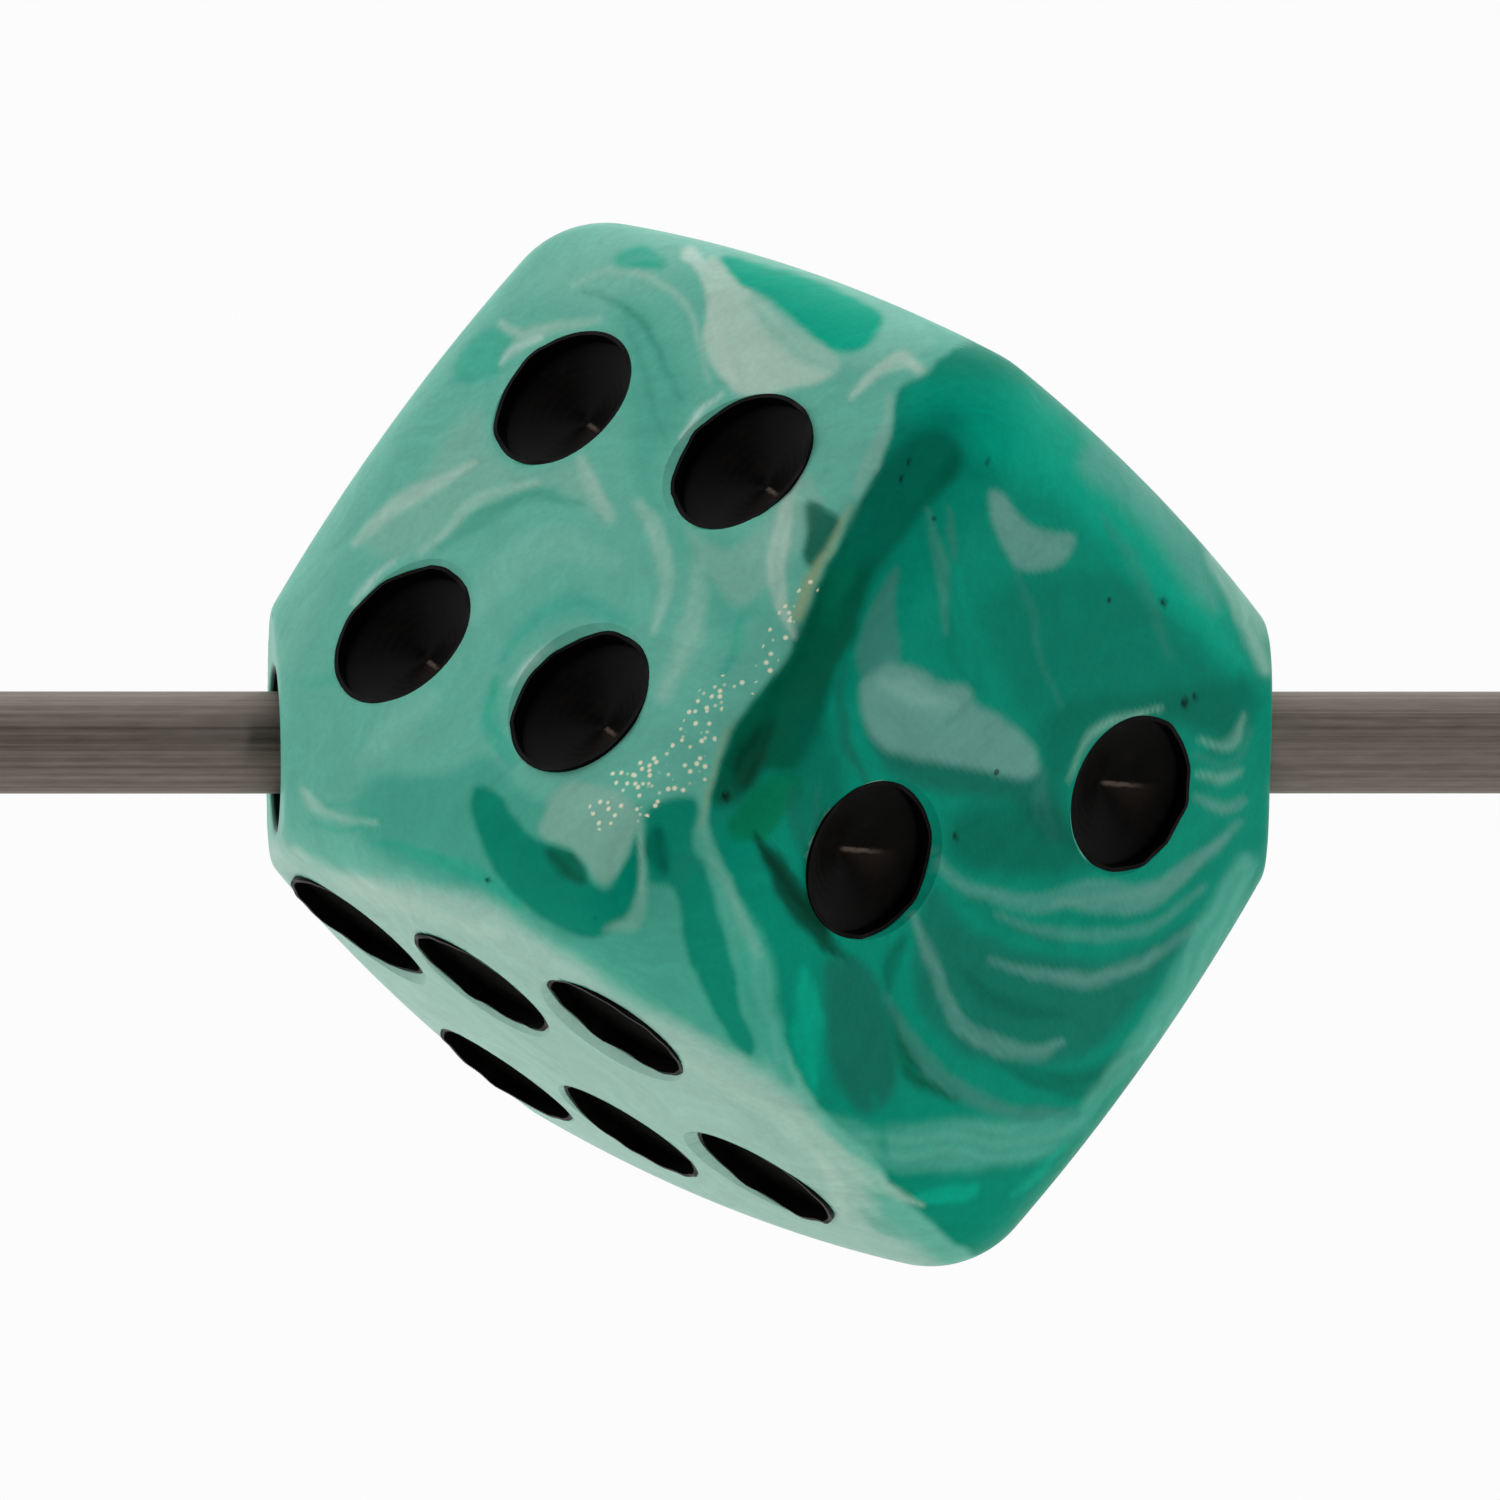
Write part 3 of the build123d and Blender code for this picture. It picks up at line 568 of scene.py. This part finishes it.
def layMarbling(die):
    points = readPoints(die)
    depth = -(points @ viewBack)
    seen = np.stack([points @ viewRight, points[:, 2]], 1) / mm
    seen /= (1 + depth / view["distance"])[:, None]
    normals = np.empty(len(points) * 3)
    die.data.vertex_normals.foreach_get("vector", normals)
    facing = normals.reshape(-1, 3) @ viewBack
    front = facing > -0.1
    # the flow of the plastic bends every edge a little
    noise.seed_set(marbling["seed"])
    wander = np.array([
        list(noise.noise_vector(Vector(p) * 0.9)) + list(noise.noise_vector(Vector(p) * 3.1))
        for p in points / mm
    ])
    seen += marbling["wander"] * wander[:, [0, 2]] + marbling["quiver"] * wander[:, [3, 5]]
    colour = np.tile(linearColour(pigments["mint"]), (len(points), 1))
    for number, (pigment, strength, soft, halfWidths, places) in enumerate(swirls):
        low = np.array(places).min(0) - marbling["margin"]
        high = np.array(places).max(0) + marbling["margin"]
        near = np.flatnonzero(front & (seen > low).all(1) & (seen < high).all(1))
        here = seen[near]
        edge = 0.6 * max(soft, marbling["leastSoft"])
        if halfWidths:
            far, along, across = strokeDistance(here, smoothLine(places), halfWidths)
            drift = 2.2 * np.sin(1.7 * along + number) + 1.1 * np.sin(5.3 * along - number)
            grain = np.sin(26 * across + drift)
            cover = softStep(edge, -edge, far) * (1 - marbling["streaks"] * (1 - grain))
        else:
            far = patchDistance(here, smoothLine(places, closed=True))
            cover = softStep(edge, -edge, far)
        cover = (strength * cover)[:, None]
        colour[near] = colour[near] * (1 - cover) + cover * linearColour(pigments[pigment])
    handLaid = softStep(-0.02, 0.12, facing)
    # painted shade: the inside of the bore is darkened towards black
    boreAxis = np.array(dieTurn @ Vector((1, -1, -1)).normalized())
    away = np.linalg.norm(np.cross(points, boreAxis), axis=1) / mm
    inside = softStep(dieBody["boreRadius"] + 0.1, dieBody["boreRadius"] + 0.01, away)
    colour += inside[:, None] * (np.array(linearColour(pigments["night"])) * 0.4 - colour)
    handLaid = np.maximum(handLaid, inside)
    speck = np.zeros(len(points))
    for right, up, radius in specks:
        far = np.hypot(seen[:, 0] - right, seen[:, 1] - up)
        speck = np.maximum(speck, softStep(1.3 * radius, 0.5 * radius, far))
    far, _, _ = strokeDistance(seen, smoothLine(glitterSeam), glitterWidths)
    glitter = softStep(0.12, -0.05, far) * handLaid
    paint = die.data.color_attributes.new("swirl_colour", "FLOAT_COLOR", "POINT")
    paint.data.foreach_set("color", np.hstack([colour, handLaid[:, None]]).astype(np.float32).ravel())
    extra = die.data.attributes.new("swirl_extras", "FLOAT_VECTOR", "POINT")
    extras = np.stack([handLaid, speck * handLaid, glitter], 1)
    extra.data.foreach_set("vector", extras.astype(np.float32).ravel())


layMarbling(die)
print("swirls laid", len(swirls))


def addNode(tree, kind, sockets=None, **settings):
    # one node: a socket takes a plain value, a node's first output or a (node, output) pair
    node = tree.nodes.new(kind)
    for key, value in settings.items():
        setattr(node, key, value)
    for key, value in (sockets or {}).items():
        if isinstance(value, bpy.types.Node):
            value = (value, 0)
        if isinstance(value, tuple) and isinstance(value[0], bpy.types.Node):
            tree.links.new(value[0].outputs[value[1]], node.inputs[key])
        else:
            node.inputs[key].default_value = value
    return node


def noiseNode(tree, vector, scale, detail, roughness):
    sockets = {"Vector": vector, "Scale": scale, "Detail": detail, "Roughness": roughness}
    return addNode(tree, "ShaderNodeTexNoise", sockets)


def rangeNode(tree, value, fromMin, fromMax, toMin=0, toMax=1, **settings):
    sockets = {"Value": value, "From Min": fromMin, "From Max": fromMax, "To Min": toMin, "To Max": toMax}
    return addNode(tree, "ShaderNodeMapRange", sockets, **settings)


def smoothRange(*places):
    return rangeNode(*places, interpolation_type="SMOOTHSTEP")


def mathNode(tree, operation, *values, **settings):
    return addNode(tree, "ShaderNodeMath", dict(enumerate(values)), operation=operation, **settings)


def vectorNode(tree, operation, *values):
    return addNode(tree, "ShaderNodeVectorMath", dict(enumerate(values)), operation=operation)


def scaleNode(tree, vector, scale):
    return addNode(tree, "ShaderNodeVectorMath", {0: vector, "Scale": scale}, operation="SCALE")


def mixNode(tree, factor, under, over):
    return addNode(tree, "ShaderNodeMix", {"Factor": factor, "A": under, "B": over}, data_type="RGBA")


def newMaterial(name):
    material = bpy.data.materials.new(name)
    material.use_nodes = True
    tree = material.node_tree
    return material, tree, tree.nodes["Principled BSDF"]


def fillRamp(node, stops):
    # stops are (place, hex colour)
    elements = node.color_ramp.elements
    while len(elements) < len(stops):
        elements.new(0.5)
    for element, (place, hexValue) in zip(elements, stops):
        element.position = place
        element.color = linearColour(hexValue) + [1]


def marbledPlastic():
    # cast marbled resin, tumbled to a soft polish: swirled pigment under a slightly uneven gloss
    material, tree, shader = newMaterial("cast marbled resin")
    place = addNode(tree, "ShaderNodeTexCoord")
    inMm = scaleNode(tree, (place, "Object"), 1000)
    # two bends of the flow: folds about 8 mm across, then curls about 2 mm across
    folds = noiseNode(tree, inMm, 0.13, 2, 0.5)
    folded = vectorNode(tree, "MULTIPLY_ADD", (folds, "Color"), (9, 9, 9), inMm)
    curls = noiseNode(tree, folded, 0.45, 2, 0.5)
    curled = vectorNode(tree, "MULTIPLY_ADD", (curls, "Color"), (2.2, 2.2, 2.2), folded)
    stretched = addNode(
        tree, "ShaderNodeMapping",
        {"Vector": curled, "Rotation": (0.5, 0.3, 0.7), "Scale": (0.16, 0.5, 0.3)},
    )
    body = noiseNode(tree, stretched, 1, 3, 0.45)
    ramp = addNode(tree, "ShaderNodeValToRGB", {"Fac": (body, "Fac")})
    fillRamp(ramp, [
        (0.30, pigments["forest"]), (0.37, pigments["sea"]), (0.43, pigments["teal"]),
        (0.475, pigments["sage"]), (0.52, pigments["mint"]), (0.57, pigments["ash"]),
        (0.60, pigments["teal"]), (0.66, pigments["mint"]), (0.72, pigments["chalk"]),
    ])
    # thin drawn-out threads of white
    thread = addNode(
        tree, "ShaderNodeMapping",
        {"Vector": curled, "Rotation": (0.9, 0.2, 1.4), "Scale": (0.15, 1.3, 0.9)},
    )
    threads = noiseNode(tree, thread, 1, 4, 0.6)
    threadCover = smoothRange(tree, (threads, "Fac"), 0.60, 0.70, 0, 0.75)
    chalk = linearColour(pigments["chalk"]) + [1]
    wild = mixNode(tree, threadCover, ramp, chalk)
    laid = addNode(tree, "ShaderNodeAttribute", attribute_name="swirl_colour")
    extras = addNode(tree, "ShaderNodeAttribute", attribute_name="swirl_extras")
    split = addNode(tree, "ShaderNodeSeparateXYZ", {0: (extras, "Vector")})
    joined = mixNode(tree, split, (wild, "Result"), (laid, "Color"))
    # fine drawn-out streaks all over, about 0.4 mm wide, that lighten and darken what is under them
    streak = addNode(
        tree, "ShaderNodeMapping",
        {"Vector": curled, "Rotation": (0.3, 0.6, 0.9), "Scale": (0.5, 2.6, 2.0)},
    )
    streaks = noiseNode(tree, streak, 1, 4, 0.6)
    streakTone = rangeNode(tree, (streaks, "Fac"), 0.3, 0.7, 0.93, 1.07)
    grit = noiseNode(tree, inMm, 9, 2, 0.6)
    gritTone = rangeNode(tree, (grit, "Fac"), 0.3, 0.7, 0.96, 1.04)
    tone = mathNode(tree, "MULTIPLY", streakTone, gritTone)
    toned = scaleNode(tree, (joined, "Result"), tone)
    # dark specks: those listed, and a thin scatter elsewhere, about one to each 3 mm
    dots = addNode(tree, "ShaderNodeTexVoronoi", {"Vector": inMm, "Scale": 0.38, "Randomness": 1})
    dotCover = smoothRange(tree, (dots, "Distance"), 0.012, 0.028, 0.7, 0)
    allDots = mathNode(tree, "MAXIMUM", dotCover, (split, 1))
    speckled = mixNode(tree, allDots, toned, linearColour("02231b") + [1])
    # glitter flakes about 0.07 mm across, thickest along one seam; their near-white colour is a painted
    # glint of the real flakes
    flakes = addNode(
        tree, "ShaderNodeTexVoronoi", {"Vector": inMm, "Scale": 8, "Randomness": 1}, feature="F1",
    )
    flakePick = addNode(tree, "ShaderNodeSeparateColor", {0: (flakes, "Color")})
    flakeHere = mathNode(tree, "MULTIPLY", (split, 2), 0.8)
    picked = mathNode(tree, "LESS_THAN", flakePick, flakeHere)
    flakeSize = smoothRange(tree, (flakes, "Distance"), 0.18, 0.42, 1, 0)
    flakeCover = mathNode(tree, "MULTIPLY", picked, flakeSize)
    flecked = mixNode(tree, flakeCover, (speckled, "Result"), linearColour("f4f6d8") + [1])
    tree.links.new(flecked.outputs["Result"], shader.inputs["Base Color"])
    # a tumbled skin: soft ripples about 1.5 mm across and a fine haze of scuffs
    ripple = noiseNode(tree, inMm, 0.7, 2, 0.5)
    scuffs = noiseNode(tree, inMm, 4.5, 5, 0.65)
    rough = rangeNode(tree, (scuffs, "Fac"), 0.3, 0.7, 0.32, 0.46)
    skin = mathNode(tree, "MULTIPLY_ADD", (ripple, "Fac"), 5, (scuffs, "Fac"))
    bump = addNode(tree, "ShaderNodeBump", {"Height": skin, "Strength": 0.5, "Distance": 0.00002})
    tree.links.new(rough.outputs[0], shader.inputs["Roughness"])
    tree.links.new(bump.outputs["Normal"], shader.inputs["Normal"])
    shader.inputs["IOR"].default_value = 1.5
    shader.inputs["Specular IOR Level"].default_value = 0.03
    return material


def pipPaint():
    # satin black enamel run into a drilled hole: the drill's rings show through, and a lighter brown sector
    # and a pale line from the drill's tip outwards are painted highlight on the cone
    material, tree, shader = newMaterial("satin black enamel")
    bored = addNode(tree, "ShaderNodeAttribute", attribute_name="bored")
    # bored is the place in the hole in mm: x along the painted highlight line, y across it, z out of the
    # hole
    split = addNode(tree, "ShaderNodeSeparateXYZ", {0: (bored, "Vector")})
    reach = vectorNode(tree, "LENGTH", vectorNode(tree, "MULTIPLY", (bored, "Vector"), (1, 1, 0)))
    cloud = noiseNode(tree, (bored, "Vector"), 2.6, 4, 0.6)
    # turning rings 0.14 mm apart
    rings = mathNode(tree, "SINE", mathNode(tree, "MULTIPLY", (reach, "Value"), 45))
    # the painted highlight line, and the painted lighter brown sector of the cone on one side of it
    angle = mathNode(tree, "ARCTAN2", (split, "Y"), (split, "X"))
    wobble = mathNode(tree, "MULTIPLY_ADD", (cloud, "Fac"), 0.5, -0.25)
    bent = mathNode(tree, "ADD", angle, wobble)
    sector = smoothRange(tree, bent, -1.1, 0.0, 0, 1.0)
    cut = smoothRange(tree, bent, 0.0, 0.12, 1.0, 0.0)
    within = smoothRange(tree, (reach, "Value"), 0.55, 1.05, 1.0, 0.0)
    litSector = mathNode(tree, "MULTIPLY", mathNode(tree, "MULTIPLY", sector, cut), within)
    # a painted highlight line under 0.1 mm wide from the tip outwards
    across = mathNode(tree, "ABSOLUTE", mathNode(tree, "MULTIPLY_ADD", (cloud, "Fac"), 0.16, -0.08))
    offLine = mathNode(tree, "ABSOLUTE", mathNode(tree, "ADD", (split, "Y"), across))
    thin = smoothRange(tree, offLine, 0.01, 0.05, 0.75, 0.0)
    ahead = smoothRange(tree, (split, "X"), 0.0, 0.12)
    shortOf = smoothRange(tree, (split, "X"), 0.35, 0.75, 1.0, 0.0)
    line = mathNode(tree, "MULTIPLY", mathNode(tree, "MULTIPLY", thin, ahead), shortOf)
    patchy = rangeNode(tree, (cloud, "Fac"), 0.3, 0.7, 0.5, 1.3)
    highlightLine = mathNode(tree, "MULTIPLY", line, patchy, use_clamp=True)
    black = addNode(tree, "ShaderNodeValToRGB", {"Fac": (cloud, "Fac")})
    fillRamp(black, [(0.35, "040302"), (0.6, "080605"), (0.8, "15110f")])
    sectorLitPaint = mixNode(tree, litSector, (black, "Color"), linearColour("231b17") + [1])
    finished = mixNode(tree, highlightLine, (sectorLitPaint, "Result"), linearColour("75675e") + [1])
    height = mathNode(tree, "MULTIPLY_ADD", rings, 0.12, (cloud, "Fac"))
    bump = addNode(tree, "ShaderNodeBump", {"Height": height, "Strength": 0.3, "Distance": 0.00002})
    tree.links.new(finished.outputs["Result"], shader.inputs["Base Color"])
    tree.links.new(bump.outputs["Normal"], shader.inputs["Normal"])
    shader.inputs["Roughness"].default_value = 0.42
    shader.inputs["Specular IOR Level"].default_value = 0.05
    return material


# Paint lining of a pip, in millimetres: it runs a little up the bevel in places and stops short in others
pipLining = {
    "thickness": 0.07,
    "creep": 0.02,
    "gap": 0.004,
    "ringsOnCone": 7,
}


def makeLining():
    r, rim, wall, cone = (dieBody[key] * mm for key in ("pipRadius", "pipRim", "pipWall", "pipCone"))
    r -= pipLining["gap"] * mm
    count = pipLining["ringsOnCone"]
    ramp = [(r * (1 - k / count), -wall - cone * k / count) for k in range(count)]
    ramp.append((r * 0.004, -wall - cone))
    lining = turnedSolid([(r, -rim), (r, -(rim + wall) / 2)] + ramp, 72)
    bpy.ops.object.mode_set(mode="EDIT")
    bpy.ops.mesh.select_all(action="DESELECT")
    bpy.ops.mesh.select_mode(type="FACE")
    bpy.ops.object.mode_set(mode="OBJECT")
    for face in lining.data.polygons:
        face.select = face.normal.z > 0.9 and face.center.z > -rim * 1.5  # the lid over the mouth
    bpy.ops.object.mode_set(mode="EDIT")
    bpy.ops.mesh.delete(type="FACE")
    bpy.ops.object.mode_set(mode="OBJECT")
    return lining


def lineThePips():
    lining = makeLining()
    rim = dieBody["pipRim"] * mm
    creep = pipLining["creep"] * mm
    paint = pipPaint()
    for number, name in enumerate(pipNames):
        place = pipPlace(name)
        piece = placedCopy(lining, "paint_" + name[4:], Matrix.Identity(4))
        points = readPoints(piece)
        # the painted edge wanders
        edge = np.flatnonzero(points[:, 2] > -rim * 1.01)
        for i in edge:
            x, y, z = points[i]
            wave = noise.noise(Vector((x * 2400, y * 2400, number * 3.7)))
            lift = creep * max(-1, min(1, 2.2 * wave))
            outwards = 1 + max(lift, 0) / math.hypot(x, y)
            points[i] = (x * outwards, y * outwards, z + lift)
        writePoints(piece, points)
        thickness = pipLining["thickness"] * mm
        applyModifier(piece, "SOLIDIFY", thickness=thickness, offset=-1, use_even_offset=False)
        bored = piece.data.attributes.new("bored", "FLOAT_VECTOR", "POINT")
        bored.data.foreach_set("vector", (readPoints(piece) / mm).astype(np.float32).ravel())
        piece.data.transform(place)
        makeActive(piece)
        bpy.ops.object.shade_smooth_by_angle(angle=math.radians(30))
        piece.data.materials.append(paint)
        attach(piece, "die")
        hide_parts(name)
    bpy.data.objects.remove(lining)


lineThePips()
print("pips lined", len(pipNames))


def drawnSteel():
    # cold-drawn mild steel wire, left dull: warm grey, with the die's drag marks running along it
    material, tree, shader = newMaterial("cold drawn steel")
    place = addNode(tree, "ShaderNodeTexCoord")
    inMm = scaleNode(tree, (place, "Object"), 1000)
    # drag marks about 0.08 mm apart round the wire and many millimetres long
    drag = addNode(tree, "ShaderNodeMapping", {"Vector": inMm, "Scale": (0.03, 12, 12)})
    marks = noiseNode(tree, drag, 1, 3, 0.6)
    # short scuffs and grains, about 0.1 mm wide and 0.6 mm long
    scuff = addNode(tree, "ShaderNodeMapping", {"Vector": inMm, "Scale": (1.6, 10, 10)})
    scuffs = noiseNode(tree, scuff, 1, 2, 0.5)
    tone = mathNode(tree, "MULTIPLY_ADD", (scuffs, "Fac"), 0.35, (marks, "Fac"))
    ramp = addNode(tree, "ShaderNodeValToRGB", {"Fac": tone})
    fillRamp(ramp, [(0.48, "6a615a"), (0.62, "7b726a"), (0.72, "877d75"), (0.84, "968c83")])
    rough = rangeNode(tree, tone, 0.5, 0.85, 0.52, 0.66)
    bump = addNode(tree, "ShaderNodeBump", {"Height": tone, "Strength": 0.35, "Distance": 0.00004})
    tree.links.new(ramp.outputs["Color"], shader.inputs["Base Color"])
    tree.links.new(rough.outputs[0], shader.inputs["Roughness"])
    tree.links.new(bump.outputs["Normal"], shader.inputs["Normal"])
    shader.inputs["Metallic"].default_value = 1
    return material


die.data.materials.clear()
die.data.materials.append(marbledPlastic())
nodes["rod"].data.materials.clear()
nodes["rod"].data.materials.append(drawnSteel())

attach(die, "die")
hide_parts("die_body")

# Camera and light
cameraData = bpy.data.cameras.new("camera")
cameraData.lens = view["lens"]
cameraData.sensor_width = 36
cameraData.shift_x = view["shiftX"]
cameraData.shift_y = view["shiftY"]
cameraData.clip_start = 0.01
camera = bpy.data.objects.new("camera", cameraData)
bpy.context.scene.collection.objects.link(camera)
back = Vector(viewBack)
camera.location = back * view["distance"]
camera.rotation_euler = back.to_track_quat("Z", "Y").to_euler()
bpy.context.scene.camera = camera
bpy.context.scene.view_settings.view_transform = "Standard"

# Studio floor: a plain pale disc with a rolled rim, below the rod
floorPiece = {"radius": 46, "depth": 3, "under": 15, "rim": 1.2}


def paleCard():
    # matt white board, very slightly mottled
    material, tree, shader = newMaterial("matt white board")
    place = addNode(tree, "ShaderNodeTexCoord")
    mottle = noiseNode(tree, (place, "Object"), 60, 3, 0.6)
    ramp = addNode(tree, "ShaderNodeValToRGB", {"Fac": (mottle, "Fac")})
    fillRamp(ramp, [(0.3, "efefec"), (0.7, "f7f7f5")])
    tree.links.new(ramp.outputs["Color"], shader.inputs["Base Color"])
    shader.inputs["Roughness"].default_value = 0.8
    shader.inputs["Specular IOR Level"].default_value = 0.1
    return material


def makeFloor():
    radius, rim = floorPiece["radius"] * mm, floorPiece["rim"] * mm
    low, high = -(floorPiece["under"] + floorPiece["depth"]) * mm, -floorPiece["under"] * mm
    quarter = [math.radians(a) for a in range(0, 91, 15)]
    rings = [(radius * 0.02, high)]
    rings += [(radius - rim + rim * math.sin(a), high - rim + rim * math.cos(a)) for a in quarter]
    rings += [(radius, low), (radius * 0.02, low)]
    floor = turnedSolid(rings, 96)
    floor.name = "studio_floor"
    bpy.ops.object.shade_smooth_by_angle(angle=math.radians(30))
    floor.data.materials.append(paleCard())


makeFloor()
print("floor laid")


def softLamp(name, direction, distance, size, watts):
    light = bpy.data.lights.new(name, "AREA")
    light.shape = "DISK"
    light.size = size
    light.energy = watts
    lamp = bpy.data.objects.new(name, light)
    bpy.context.scene.collection.objects.link(lamp)
    lamp.location = Vector(direction).normalized() * distance
    lamp.rotation_euler = Vector(direction).to_track_quat("Z", "Y").to_euler()


# a small soft lamp beside the camera, for the line along the rod and the glints in the pips
softLamp("fill", direction=(0.30, -0.94, 0.02), distance=0.30, size=0.035, watts=0.12)

world = bpy.data.worlds.new("studio")
bpy.context.scene.world = world
world.use_nodes = True
worldTree = world.node_tree
# a white tent, darker round the opening that faces the die's front; the camera itself sees plain white
background = worldTree.nodes["Background"]
direction = addNode(worldTree, "ShaderNodeTexCoord")
towards = vectorNode(worldTree, "DOT_PRODUCT", (direction, "Generated"), tuple(viewBack))
opening = smoothRange(worldTree, (towards, "Value"), 0.1, 0.8, 1.25, 0.02)
path = addNode(worldTree, "ShaderNodeLightPath")
strength = addNode(
    worldTree, "ShaderNodeMix", {"Factor": (path, "Is Camera Ray"), "A": opening, "B": 0.975},
    data_type="FLOAT",
)
worldTree.links.new(strength.outputs[0], background.inputs["Strength"])
background.inputs["Color"].default_value = (1, 1, 1, 1)
